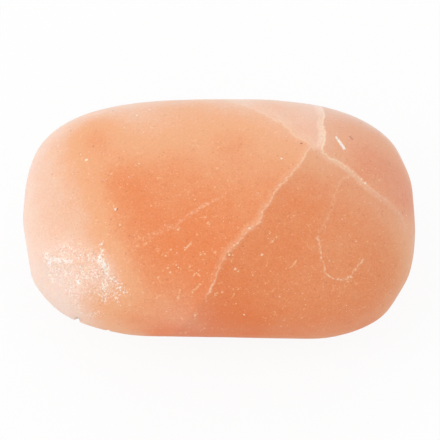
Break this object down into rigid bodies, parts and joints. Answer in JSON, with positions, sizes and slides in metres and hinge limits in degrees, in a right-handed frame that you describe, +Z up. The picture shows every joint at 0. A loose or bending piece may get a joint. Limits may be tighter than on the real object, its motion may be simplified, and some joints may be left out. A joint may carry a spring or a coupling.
{
  "type": "rock salt soap bar",
  "caption": "Hand-sized pebble of pink rock salt with a sawn flat rest face, softly ground flats round its rim and pale veins, used as a bar of soap.",
  "frame": {"origin": "middle of the bar's outline from above, in the plane of the sawn face that it rests on", "axes": "+X along the bar's length, +Y to its back, +Z up through its crown"},
  "size_m": [0.09, 0.058, 0.035],
  "materials": {
    "rock_salt": "rubbed smooth, slightly translucent"
  },
  "bodies": {
    "root": {"salt_bar": "rock_salt"}
  },
  "joints": []
}
